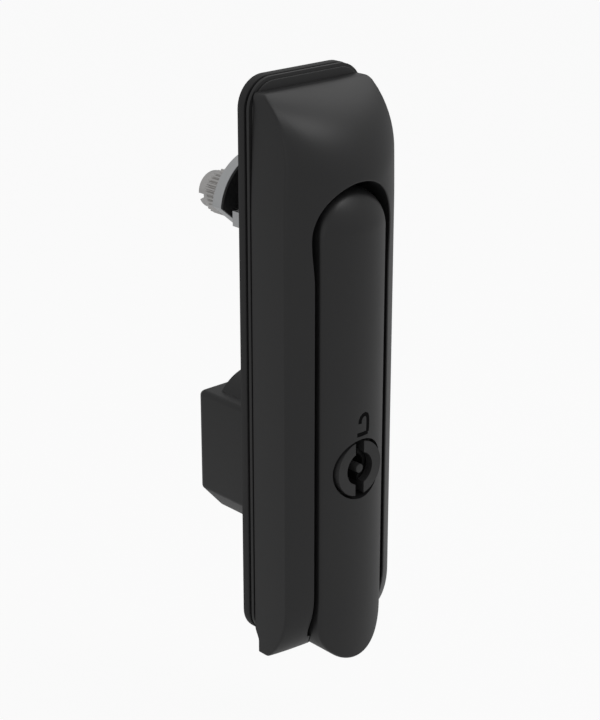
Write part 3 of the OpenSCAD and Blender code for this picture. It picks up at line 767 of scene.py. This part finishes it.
@dataclass(frozen=True)
class Station:
    """One section of the cover's rim, from the channel's wall out to the body's side.

    Attributes:
        inner: Place of the channel's wall in the front view.
        outward: Direction from the channel into the rim.
        outer: Place of the body's outer wall.
        inward: Direction from the outer wall into the rim.
        shrink: How far the section is drawn in, for the rounded end.
    """

    inner: Place
    outward: Place
    outer: Place
    inward: Place
    shrink: float = 0.0


@dataclass
class Cover:
    """The moulded front cover: its rim, its floors and its flange.

    Attributes:
        sizes: The shared sizes.
        finishes: The finishes.
        lip, toe_lip: Rounding of the channel's lip, and of its end at the toe.
        crest, corner: Rounding of the body's outer edge, and radius of its top corners.
        end_round: The rounded lower end, as heights above it with how far each is drawn in.
        wall_back: Depth of the back of the channel's wall.
        heel, heel_z: Depth of the back of the body's sides, and where it starts to rise.
        heel_run, heel_rise: Length and height of that rise towards the toe.
        steps: Number of rows over the rim's front.
        tuck, toe_tuck: How far the floors and the toe's piece reach under the rim.
        toe_inset: How far that piece lies inside the body's lower end.
        floor_t: Thickness of the channel's floor.
        floor_end: How far below the well's start that floor ends.
        well_back: Depth of the back of the well's floor.
        shaft_hole: Radius of the shaft's hole.
        lock_gap, cam_room: How much larger the holes for the lock and the cam are.
        pocket: The cam's pocket: its half width, and its reach below and above the lock's axis.
        through: Depths between which cutters go through the floors and the flange.
        seat_back, seat_gap: Depth of the back of the tip's seat, and the gap round the tip.
        flange_inset, flange_edge: How far the flange lies inside the plate's outline, and
            the rounding of its front edge.
    """

    sizes: LatchSizes
    finishes: Finishes
    lip: float = 0.6
    toe_lip: float = 0.04
    crest: float = 0.6
    corner: float = 1.6
    end_round: tuple[Place, ...] = ((0.0, 0.5), (0.15, 0.2), (0.5, 0.0))
    wall_back: float = 7.5
    heel: float = 6.0
    heel_z: float = -94.5
    heel_run: float = 5.0
    heel_rise: float = 1.8
    steps: int = 20
    tuck: float = 0.6
    toe_tuck: float = 0.1
    toe_inset: float = 0.02
    floor_t: float = 2.0
    floor_end: float = 2.0
    well_back: float = 6.5
    shaft_hole: float = 7.5
    lock_gap: float = 1.0
    cam_room: float = 1.6
    pocket: Point = (15.8, 22.4, 19.6)
    through: Place = (4.0, 14.0)
    seat_back: float = 14.8
    seat_gap: float = 0.5
    flange_inset: float = 1.3
    flange_edge: float = 0.3

    def build(self) -> None:
        """Builds the cover's pieces and dresses them."""
        rim = lofted("cover_rim", [self.section(s) for s in self.stations()])
        others = [self.floor(), self.well(), self.flange(), self.toe()]
        only(rim)
        for piece in others:
            piece.select_set(True)
        bpy.ops.object.join()
        rim.name = "moulded_cover"
        dress(rim, self.finishes.cover, Body.HOUSING, ["front_cover"],
              MOULDED_SMOOTH)

    def stations(self) -> list[Station]:
        """The rim's sections, from the left end of the channel round the well to the right."""
        left = self.side_stations() + self.well_stations()
        right = [Station((-s.inner[0], s.inner[1]), (-s.outward[0], s.outward[1]),
                         (-s.outer[0], s.outer[1]), (-s.inward[0], s.inward[1]), s.shrink)
                 for s in reversed(left[:-1])]
        return left + right

    def side_stations(self) -> list[Station]:
        """The sections up the left side, from the rounded end to the middle of the well."""
        k = self.sizes
        ends = [(k.shell_bottom + rise, shrink) for rise, shrink in self.end_round]
        toe = spread(ends[-1][0], k.draw_z, 24)[1:]
        run = spread(k.draw_z, k.well_low, 44)[1:]
        neck = spread(k.well_low, k.hub_z, 12)[1:-1]
        step = 0.05
        made = []
        for z, shrink in ends + [(z, 0.0) for z in toe + run + neck]:
            slope = (k.channel_side(z + step) - k.channel_side(z - step)) / (2 * step)
            length = math.hypot(1, slope)
            made.append(Station((-k.channel_side(z), z), (-1 / length, -slope / length),
                                (-k.shell_half * k.draw_in(z), z), (1.0, 0.0), shrink))
        return made

    def well_stations(self) -> list[Station]:
        """The sections round the left half of the well, whose outer ends go round a top corner."""
        k, r = self.sizes, self.corner
        top = k.shell_half * k.draw_in(k.shell_top)
        outer = [((-k.shell_half * k.draw_in(z), z), (1.0, 0.0))
                 for z in spread(k.hub_z, k.shell_top - r, 18)]
        for turn in spread(0, math.pi / 2, 6)[1:]:
            outer.append(((-top + r - r * math.cos(turn), k.shell_top - r + r * math.sin(turn)),
                          (math.cos(turn), -math.sin(turn))))
        outer += [((x, k.shell_top), (0.0, -1.0)) for x in spread(r - top, 0, 10)[1:]]
        made = []
        for (place, inward), turn in zip(outer, spread(math.pi, math.pi / 2, len(outer) - 1)):
            out = (math.cos(turn), math.sin(turn))
            made.append(Station((k.well_r * out[0], k.hub_z + k.well_r * out[1]), out,
                                place, inward))
        return made

    def section(self, s: Station) -> list[Point]:
        """Points of one section of the rim.

        Args:
            s: The station.

        Returns:
            A closed loop: the channel's wall, the lip, the front, the crest and the outer wall.
        """
        k = self.sizes
        lip = self.lip if s.inner[1] > k.toe_z else self.toe_lip
        loop = [self._point(s.inner, s.outward, s.shrink, self.wall_back)]
        for turn in spread(0, math.pi / 2, 5):
            across = s.shrink + lip * (1 - math.cos(turn))
            loop.append(self._front(s.inner, s.outward, across,
                                    s.shrink + lip * (1 - math.sin(turn))))
        start = self._place(s.inner, s.outward, s.shrink + lip)
        end = self._place(s.outer, s.inward, s.shrink + self.crest)
        for share in spread(0, 1, self.steps)[1:-1]:
            x, z = (a + (b - a) * share for a, b in zip(start, end))
            loop.append(self._front((x, z), (0, 0), 0, s.shrink))
        for turn in spread(0, math.pi / 2, 4):
            across = s.shrink + self.crest * (1 - math.sin(turn))
            loop.append(self._front(s.outer, s.inward, across,
                                    s.shrink + self.crest * (1 - math.cos(turn))))
        low = min(1.0, max(0.0, (self.heel_z - s.outer[1]) / self.heel_run))
        rise = self.heel_rise * low * low * (3 - 2 * low)
        loop.append(self._point(s.outer, s.inward, s.shrink, self.heel + rise))
        return loop

    def _place(self, place: Place, way: Place, across: float) -> Place:
        """A place in the front view, a distance along a direction from another."""
        return place[0] + way[0] * across, place[1] + way[1] * across

    def _point(self, place: Place, way: Place, across: float, depth: float) -> Point:
        """A point at a depth, a distance along a direction from a place in the front view."""
        x, z = self._place(place, way, across)
        return x, -depth, z

    def _front(self, place: Place, way: Place, across: float, below: float) -> Point:
        """A point at or below the front surface.

        Args:
            place: A place in the front view.
            way: A direction there.
            across: Distance along it.
            below: Distance below the front surface.

        Returns:
            The point in millimetres.
        """
        x, z = self._place(place, way, across)
        return x, below - self.sizes.cover_depth(x, z), z

    def floor(self) -> Piece:
        """The channel's floor, which falls back at the open end and lets the lock through."""
        k = self.sizes
        heights = spread(k.shell_bottom, k.scoop_z, 16)
        sections = []
        for z in heights + [k.well_low - self.floor_end]:
            half = k.channel_side(z) + self.tuck
            front = [(x, -k.floor_depth(z), z) for x in spread(-half, half, 6)]
            rear = -k.flange_front if z < heights[-1] else self.floor_t - k.channel_floor
            sections.append(front + [(half, rear, z), (-half, rear, z)])
        floor = lofted("cover_floor", sections)
        low, high = self.through
        cut(floor, bar("lock_way", (0, k.lock_z), low, high, k.barrel_r + self.lock_gap))
        cut(floor, block("cam_way", (-k.cam_way_half, -high, k.lock_z - k.cam_len - self.cam_room),
                         (k.cam_way_half, -low, k.lock_z)))
        return floor

    def toe(self) -> Piece:
        """The toe that closes the channel below, with a round seat for the handle's tip."""
        k = self.sizes
        half = k.channel_half - k.draw + self.toe_tuck
        sections = []
        for z in spread(k.shell_bottom + self.toe_inset, k.toe_z, 24):
            front = [(x, -k.cover_depth(x, z), z) for x in spread(-half, half, 40)]
            sections.append(front + [(half, -k.flange_front, z), (-half, -k.flange_front, z)])
        toe = lofted("cover_toe", sections)
        cut(toe, bar("tip_seat", (0, k.tip_z), self.seat_back, k.clear,
                     k.handle_half + self.seat_gap))
        return toe

    def well(self) -> Piece:
        """The floor of the well, with the step to the channel's floor and the shaft's hole."""
        k = self.sizes
        well = bar("cover_well", (0, k.hub_z), self.well_back, k.hub_floor, k.well_r + self.tuck)
        cut(well, self.shaft_way())
        return well

    def shaft_way(self) -> Piece:
        """The cutter of the shaft's hole."""
        return bar("shaft_way", (0, self.sizes.hub_z), *self.through, self.shaft_hole)

    def flange(self) -> Piece:
        """The flat flange round the body, with round corners and a rounded front edge."""
        k = self.sizes
        half_w, half_h = k.plate_w / 2 - self.flange_inset, k.plate_h / 2 - self.flange_inset
        front = -k.rim_front - k.tray_step
        flange = block("cover_flange", (-half_w, front, -half_h), (half_w, -k.rim_front, half_h))
        bevel(flange, runs_deep, k.plate_corner - self.flange_inset, 12)
        bevel(flange, lambda a, b: max(a.y, b.y) < front * MM + SAME, self.flange_edge, 3)
        (low, high), (half, below, above) = self.through, self.pocket
        cut(flange, block("cam_pocket", (-half, -high, k.lock_z - below),
                          (half, -low, k.lock_z + above)))
        cut(flange, self.shaft_way())
        return flange


@dataclass
class Handle:
    """The swing handle with its recess for the lock, its back and the open padlock sign.

    Attributes:
        sizes: The shared sizes.
        finishes: The finishes.
        bore_back: Depth where the lock's bore ends.
        recess, recess_gap: Depth and width of the recess round the lock barrel's rim.
        heel_cut: Width of the slope along the back edge of the tip.
        mouth_half: Half height of the slot that lets the yoke into its room.
        liner_edge: Width of the handle's wall beside the liner.
        liner_low: How far below the tip's centre the liner's seat starts, in half widths.
        liner_depth, liner_corner: Depth and corner radius of that seat.
        sign_path, sign_foot: The sign's line and its foot in the front view.
        sign_w, sign_cut, sign_over: Width of the line, its depth, and the cutter's height.
        shade_fill_gap, shade_fill_low: How much narrower the near-black fill of painted shade in
            the engraved line is, and how far below the front.
        shade_fill_root: How much deeper than the line it reaches.
    """

    sizes: LatchSizes
    finishes: Finishes
    bore_back: float = 10.0
    recess: float = 5.0
    recess_gap: float = 1.05
    heel_cut: float = 1.8
    mouth_half: float = 12.0
    liner_edge: float = 1.9
    liner_low: float = 0.4
    liner_depth: float = 1.8
    liner_corner: float = 4.0
    sign_path: tuple[Place, ...] = (
        (-0.6, -15.8), (-0.5, -14.6), (0.0, -13.6), (0.9, -12.95), (1.9, -12.8), (2.75, -13.3),
        (3.1, -14.4), (3.2, -16.0), (3.15, -17.8), (3.0, -19.5))
    sign_foot: tuple[Place, ...] = ((-1.8, -19.7), (0.5, -19.75), (3.3, -19.7))
    sign_w: float = 1.5
    sign_cut: float = 0.6
    sign_over: float = 2.0
    shade_fill_gap: float = 0.06
    shade_fill_low: float = 0.05
    shade_fill_root: float = 0.1

    def build(self) -> None:
        """Builds the handle and dresses it."""
        k = self.sizes
        handle = lofted("cast_handle", self.rings())
        cut(handle, bar("lock_bore", (0, k.lock_z), self.bore_back, k.clear, k.barrel_r))
        cut(handle, bar("lock_recess", (0, k.lock_z), k.barrel_face - self.recess, k.clear,
                        k.barrel_r + self.recess_gap))
        cut(handle, self.yoke_pocket())
        cut(handle, block("yoke_mouth", (-k.yoke_half, -k.pivot_depth, k.hub_z - self.mouth_half),
                          (k.yoke_half, OVER - k.handle_back, k.hub_z + self.mouth_half)))
        cut(handle, self.liner_seat())
        lines = (("sign_painted_shade", self.sign_path), ("sign_foot_painted_shade", self.sign_foot))
        for name, path in lines:
            cut(handle, self.stroke(f"{name}_cut", path, self.sign_w, self.sign_cut,
                                    self.sign_over))
        dress(handle, self.finishes.handle, Body.HANDLE, ["handle_grip"],
              MOULDED_SMOOTH)
        # A near-black fill in each engraved line, as painted shade of the groove.
        for name, path in lines:
            shade_fill = self.stroke(name, path, self.sign_w - self.shade_fill_gap,
                                self.sign_cut + self.shade_fill_root, -self.shade_fill_low)
            dress(shade_fill, self.finishes.sign, Body.HANDLE, [])

    def rounding(self, z: float) -> float:
        """Rounding of the handle's edge at a height."""
        k = self.sizes
        if z > k.hub_z:
            share = math.sin(math.pi / 2 * (z - k.hub_z) / k.handle_half)
            return k.handle_edge + (k.hub_edge - k.handle_edge) * share
        if z < k.tip_z:
            share = math.sin(math.pi / 2 * (k.tip_z - z) / k.handle_half)
            return k.handle_edge + (k.tip_edge - k.handle_edge) * share
        return k.handle_edge

    def sides(self) -> list[Place]:
        """Stations down the right side: height of the arc's centre, outward direction."""
        k = self.sizes
        bend = k.tip_z - k.handle_half + k.tip_run
        made = [(k.hub_z, turn) for turn in spread(math.pi / 2, 0, 24)]
        made += [(z, 0.0) for z in spread(k.hub_z, bend, 40)[1:]]
        made += [(z, 0.0) for z in spread(bend, k.tip_z, 6)[1:-1]]
        made += [(k.tip_z, turn) for turn in spread(0, -math.pi / 2, 24)]
        return made

    def rings(self) -> list[list[Point]]:
        """The handle's rings, from its back round its edge to its middle line."""
        stations = self.sides()
        half = self.sizes.handle_half
        last = len(stations) - 1
        order = [(stations[i], 1) for i in range(last + 1)]
        order += [(stations[i], -1) for i in range(last - 1, 0, -1)]
        rings = []
        for drawn, raised in ((1, 0), (0, 1)):
            ring = []
            for (z, turn), side in order:
                slope = self.heel_cut * min(1.0, max(0.0, -2 * math.sin(turn)))
                out = half - drawn * slope
                ring.append((side * out * math.cos(turn),
                             -self.sizes.handle_back - raised * slope, z + out * math.sin(turn)))
            rings.append(ring)
        for turn, inner in ([(turn, 0.0) for turn in spread(0, math.pi / 2, 8)]
                            + [(math.pi / 2, share) for share in spread(0, 1, 12)[1:]]):
            rings.append([self.ring_point(s, side, turn, inner) for s, side in order])
        return rings

    def ring_point(self, station: Place, side: int, turn: float, inner: float) -> Point:
        """A point of one ring.

        Args:
            station: Height of the arc's centre, and the outward direction.
            side: 1 for the right side, -1 for the left.
            turn: How far round the edge the ring is, in radians.
            inner: Share of the way from the edge's rounding to the middle line.

        Returns:
            The point in millimetres.
        """
        half = self.sizes.handle_half
        z0, way = station
        r = self.rounding(z0 + half * math.sin(way))
        inset = r * (1 - math.cos(turn)) + (half - r) * inner
        x = side * (half - inset) * math.cos(way)
        z = z0 + (half - inset) * math.sin(way)
        return x, r * (1 - math.sin(turn)) - self.sizes.handle_depth(x, z), z

    def yoke_pocket(self) -> Piece:
        """The round room for the yoke's head in the handle's back."""
        k = self.sizes
        bpy.ops.mesh.primitive_cylinder_add(
            vertices=64, radius=k.yoke_r * MM, depth=2 * k.yoke_half * MM,
            location=Vector((0, -k.pivot_depth, k.hub_z)) * MM, rotation=(0, math.radians(90), 0))
        return seat(bpy.context.object)

    def liner_seat(self) -> Piece:
        """The shallow seat of the liner in the handle's back."""
        k = self.sizes
        half = k.handle_half - self.liner_edge
        low, high = k.tip_z - self.liner_low * k.handle_half, k.hub_z - k.handle_half
        room = block("liner_seat", (-half, -k.handle_back - self.liner_depth, low),
                     (half, OVER - k.handle_back, high))
        bevel(room, runs_deep, self.liner_corner, 8)
        return room

    def stroke(self, name: str, path: Sequence[Place], width: float, below: float,
               above: float) -> Piece:
        """A ribbon that follows a line over the handle's front.

        Args:
            name: Its name.
            path: The line in the front view.
            width: Width of the ribbon.
            below: How far its rear lies below the front surface.
            above: How far its front lies above it.

        Returns:
            The ribbon.
        """
        sections = []
        for i, (x, z) in enumerate(path):
            a, b = path[max(0, i - 1)], path[min(len(path) - 1, i + 1)]
            length = math.hypot(b[0] - a[0], b[1] - a[1])
            nx, nz = (b[1] - a[1]) / length, (a[0] - b[0]) / length
            depth = self.sizes.handle_depth(x, z)
            loop = []
            for side, level in ((-1, -below), (1, -below), (1, above), (-1, above)):
                loop.append((x + side * nx * width / 2, -(depth + level),
                             z + side * nz * width / 2))
            sections.append(loop)
        return lofted(name, sections)


@dataclass
class SmallPieces:
    """The pieces made from the CAD nodes' own forms, and the key pin.

    Attributes:
        sizes: The shared sizes.
        finishes: The finishes.
        turns: How far pieces on the shaft are turned about it, in degrees.
        keyhole_r, keyhole_back: Radius of the lock insert's keyhole, and depth of its end.
        slot_half, slot_back: Half width of the keyhole's slots, and depth of their end.
        ring_reach: The shaft's toothed ring and end lie further behind the door than this.
        ring_share: How far they are drawn in.
        box_drop: How far the lock box lies below its solid.
        post_root: Depth where the key pin starts, inside the rotor.
        post_low: How far the key pin's front lies behind the barrel's face.
        post_r, post_edge: Radius of the key pin, and rounding of its edge.
    """

    sizes: LatchSizes
    finishes: Finishes
    turns: dict[str, float] = field(default_factory=lambda: {
        "drive_shaft": 28.0, "stop_disc": 4.8, "thrust_washer": 4.8})
    keyhole_r: float = 5.8
    keyhole_back: float = 23.4
    slot_half: float = 1.95
    slot_back: float = 24.6
    ring_reach: float = 32.6
    ring_share: float = 0.93
    box_drop: float = 1.0
    post_root: float = 20.0
    post_low: float = 0.1
    post_r: float = 1.6
    post_edge: float = 0.2

    def build(self) -> None:
        """Builds and dresses each of them."""
        f = self.finishes
        table = (
            ("gasket", "door_gasket", f.rubber, Body.HOUSING, "gasket", 0.5, 3),
            ("base_frame", "back_frame", f.plate, Body.HOUSING, "frame_plastic", 0.5, 3),
            ("lock_box", "lock_housing", f.box, Body.HOUSING, "box_plastic", 0.0, 2),
            ("bearing_plate", "bearing_plate_cast", f.zinc, Body.HOUSING, "die_cast_zinc", 0.35, 3),
            ("drive_yoke", "yoke_casting", f.zinc, Body.HOUSING, "die_cast_zinc", 0.3, 2),
            ("lock_barrel", "lock_insert", f.insert, Body.HANDLE, "lock_plastic", 0.22, 3),
            ("handle_liner", "back_liner", f.plate, Body.HANDLE, "handle_plastic", 0.15, 2),
            ("lock_rotor", "lock_core", f.rotor, Body.KEY_ROTOR, "lock_plastic", 0.15, 2),
            ("locking_cam", "cam_stamping", f.zinc, Body.KEY_ROTOR, "die_cast_zinc", 0.2, 2),
            ("drive_shaft", "square_end_shaft", f.shaft, Body.SHAFT, "shaft_metal", 0.2, 2),
            ("stop_disc", "stop_disc_casting", f.zinc, Body.SHAFT, "die_cast_zinc", 0.15, 2),
            ("thrust_washer", "friction_washer", f.washer, Body.SHAFT, "washer_plastic", 0.2, 2),
        )
        for node, name, finish, body, slot, width, steps in table:
            piece = refined(node, name, width, steps)
            if node == "lock_barrel":
                self.lock_front(piece)
            if node == "drive_shaft":
                self.shaft_end(piece)
            if node == "lock_box":
                piece.data.transform(Matrix.Translation((0, 0, -self.box_drop * MM)))
            if node in self.turns:
                self.turned(piece, self.turns[node])
            dress(piece, finish, body, [node])
        self.key_post()

    def key_post(self) -> None:
        """Builds and dresses the pin in the middle of the keyhole."""
        k = self.sizes
        post = bar("key_post", (0, k.lock_z), self.post_root, k.barrel_face - self.post_low,
                   self.post_r, 48)
        soften(post, self.post_edge)
        dress(post, self.finishes.insert, Body.KEY_ROTOR, ["key_pin"])

    def lock_front(self, insert: Piece) -> None:
        """Opens the insert's keyhole to its full size, with its two slots."""
        k = self.sizes
        cut(insert, bar("keyhole", (0, k.lock_z), self.keyhole_back, k.clear, self.keyhole_r))
        reach = k.barrel_r + OVER
        cut(insert, block("key_slots", (-self.slot_half, -k.clear, k.lock_z - reach),
                          (self.slot_half, -self.slot_back, k.lock_z + reach)))

    def shaft_end(self, shaft: Piece) -> None:
        """Draws in the toothed ring and the slotted end of the shaft a little."""
        edit(shaft, "VERT")
        bpy.ops.object.mode_set(mode="OBJECT")
        for vertex in shaft.data.vertices:
            vertex.select = vertex.co.y > self.ring_reach * MM
        bpy.ops.object.mode_set(mode="EDIT")
        bpy.ops.transform.resize(value=(self.ring_share, 1, self.ring_share),
                                 center_override=self.hub())
        bpy.ops.object.mode_set(mode="OBJECT")

    def turned(self, piece: Piece, degrees: float) -> None:
        """Turns a piece about the shaft's axis, in its mesh.

        Args:
            piece: The piece.
            degrees: The turn, from X towards Z.
        """
        edit(piece, "FACE")
        bpy.ops.mesh.select_all(action="SELECT")
        bpy.ops.transform.rotate(value=math.radians(degrees), orient_axis="Y",
                                 center_override=self.hub())
        bpy.ops.object.mode_set(mode="OBJECT")

    def hub(self) -> Vector:
        """The point of the shaft's axis at the door's face, in metres."""
        return Vector((0, 0, self.sizes.hub_z)) * MM


@dataclass
class CarriedNodes:
    """The CAD nodes, each with its finish, where no piece takes its place.

    Attributes:
        finishes: The finishes.
    """

    finishes: Finishes

    def table(self) -> dict[str, Finish]:
        """The finish of every CAD node."""
        f = self.finishes
        return {
            "gasket": f.rubber, "base_frame": f.plate, "front_cover": f.cover,
            "cover_screws": f.screw, "thread_inserts": f.brass, "lock_box": f.box,
            "box_screws": f.screw, "shaft_bush": f.bush, "shaft_seal": f.rubber,
            "bearing_plate": f.zinc, "bearing_screws": f.screw, "drive_yoke": f.zinc,
            "yoke_screws": f.screw, "pivot_pin": f.pin, "handle_grip": f.handle,
            "handle_liner": f.plate, "lock_barrel": f.insert, "barrel_clip": f.pin,
            "lock_rotor": f.rotor, "key_pin": f.insert, "locking_cam": f.zinc,
            "cam_screw": f.screw, "drive_shaft": f.shaft, "thrust_washer": f.washer,
            "stop_disc": f.zinc, "shaft_clip": f.pin,
        }

    def dress(self) -> None:
        """Gives every CAD node its finish."""
        for name, finish in self.table().items():
            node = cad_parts[name]
            node.data.materials.clear()
            node.data.materials.append(finish.material())
            log.info("finish of %s: %s", name, finish.name)


def main() -> None:
    """Builds the studio and every piece of the latch in order."""
    logging.basicConfig(level=logging.INFO, format="%(name)s: %(message)s")
    finishes, sizes = Finishes(), LatchSizes()
    Studio().build()
    CarriedNodes(finishes).dress()
    Cover(sizes, finishes).build()
    Handle(sizes, finishes).build()
    SmallPieces(sizes, finishes).build()


if __name__ == "__main__":
    main()
